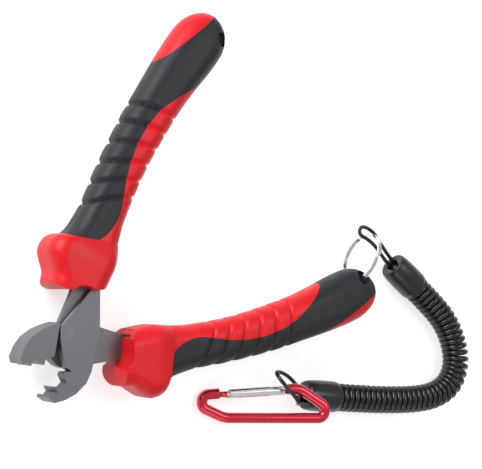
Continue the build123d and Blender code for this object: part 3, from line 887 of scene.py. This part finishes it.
def camera():
    """Puts the camera in place, and gives its own axes."""
    data = bpy.data.cameras.new("Camera")
    data.sensor_fit = "HORIZONTAL"
    data.sensor_width = 36
    data.lens = CAMERA_LENS
    data.clip_start = 0.01
    obj = bpy.data.objects.new("Camera", data)
    back = CAMERA_BACK.normalized()
    up = back.cross(CAMERA_RIGHT).normalized()
    right = up.cross(back)
    obj.matrix_world = Matrix.Translation(CAMERA_PLACE) @ Matrix((right, up, back)).transposed().to_4x4()
    bpy.context.scene.collection.objects.link(obj)
    bpy.context.scene.camera = obj
    return right, up, back


def build_stage():
    bpy.ops.object.select_all(action="DESELECT")
    bpy.ops.mesh.primitive_plane_add(size=6, location=(0, 0, -0.0002))
    floor = bpy.context.object
    floor.name = "floor"
    floor.data.materials.append(floor_material())
    right, up, back = camera()
    middle = Vector((0.06, -0.02, 0.0))          # about the middle of the object
    soft_light("Key", middle + up * 0.9 - right * 0.45 + back * 0.9, middle, (0.9, 0.7), 14)
    soft_light("Side", middle + right * 1.0 + up * 0.3 + back * 0.7, middle, (0.6, 0.6), 3.2)
    soft_light("Fill", middle - up * 0.9 + back * 1.0, middle, (1.0, 0.5), 2.6)
    world_light()
    bpy.context.scene.view_settings.view_transform = "Standard"


# ---- operators ----------------------------------------------------------------------------------
class PLIERS_OT_materials(bpy.types.Operator):
    """Make the finishes of every piece"""
    bl_idname = "pliers.materials"
    bl_label = "Finishes"

    def execute(self, context):
        MATERIALS.update(make_materials(context.scene))
        return {"FINISHED"}


class PLIERS_OT_jaws(bpy.types.Operator):
    """Finish the two steel halves and the rivet"""
    bl_idname = "pliers.jaws"
    bl_label = "Jaws"

    def execute(self, context):
        jaw_pieces(context.scene)
        return {"FINISHED"}


class PLIERS_OT_grips(bpy.types.Operator):
    """Model both grips in red plastic and black rubber"""
    bl_idname = "pliers.grips"
    bl_label = "Grips"

    def execute(self, context):
        grip_pieces(context.scene, 1, "upper")
        grip_pieces(context.scene, -1, "lower")
        return {"FINISHED"}


class PLIERS_OT_ring(bpy.types.Operator):
    """Finish the split ring"""
    bl_idname = "pliers.split_ring"
    bl_label = "Split Ring"

    def execute(self, context):
        dress("split_ring", MATERIALS["ring_nickel"])
        return {"FINISHED"}


class PLIERS_OT_lanyard(bpy.types.Operator):
    """Model the coiled lanyard, its caps and loops, and the carabiner on its end"""
    bl_idname = "pliers.lanyard"
    bl_label = "Lanyard"

    def execute(self, context):
        lanyard_pieces(context.scene)
        return {"FINISHED"}


class PLIERS_OT_stage(bpy.types.Operator):
    """Set the floor, the lights and the camera"""
    bl_idname = "pliers.stage"
    bl_label = "Stage"

    def execute(self, context):
        build_stage()
        return {"FINISHED"}


class PLIERS_PT_panel(bpy.types.Panel):
    """Every step of the model, in order"""
    bl_label = "Fishing Pliers"
    bl_idname = "PLIERS_PT_panel"
    bl_space_type = "VIEW_3D"
    bl_region_type = "UI"
    bl_category = "Pliers"

    def draw(self, context):
        scene = context.scene
        for group in (scene.pliers_grips, scene.pliers_steel, scene.pliers_lanyard, scene.pliers_carabiner):
            for name in group.__annotations__:
                self.layout.prop(group, name)
        for step in STEPS:
            self.layout.operator(step.bl_idname)


STEPS = (PLIERS_OT_stage, PLIERS_OT_materials, PLIERS_OT_jaws, PLIERS_OT_grips, PLIERS_OT_ring,
         PLIERS_OT_lanyard)
GROUPS = (PliersGripSettings, PliersSteelSettings, PliersLanyardSettings, PliersCarabinerSettings)
CLASSES = GROUPS + STEPS + (PLIERS_PT_panel,)


def register():
    for cls in CLASSES:
        bpy.utils.register_class(cls)
    bpy.types.Scene.pliers_grips = PointerProperty(type=PliersGripSettings)
    bpy.types.Scene.pliers_steel = PointerProperty(type=PliersSteelSettings)
    bpy.types.Scene.pliers_lanyard = PointerProperty(type=PliersLanyardSettings)
    bpy.types.Scene.pliers_carabiner = PointerProperty(type=PliersCarabinerSettings)


def unregister():
    del bpy.types.Scene.pliers_grips
    del bpy.types.Scene.pliers_steel
    del bpy.types.Scene.pliers_lanyard
    del bpy.types.Scene.pliers_carabiner
    for cls in reversed(CLASSES):
        bpy.utils.unregister_class(cls)


def main():
    register()
    bpy.ops.pliers.stage()
    bpy.ops.pliers.materials()
    bpy.ops.pliers.jaws()
    bpy.ops.pliers.grips()
    bpy.ops.pliers.split_ring()
    bpy.ops.pliers.lanyard()


if __name__ == "__main__":
    main()
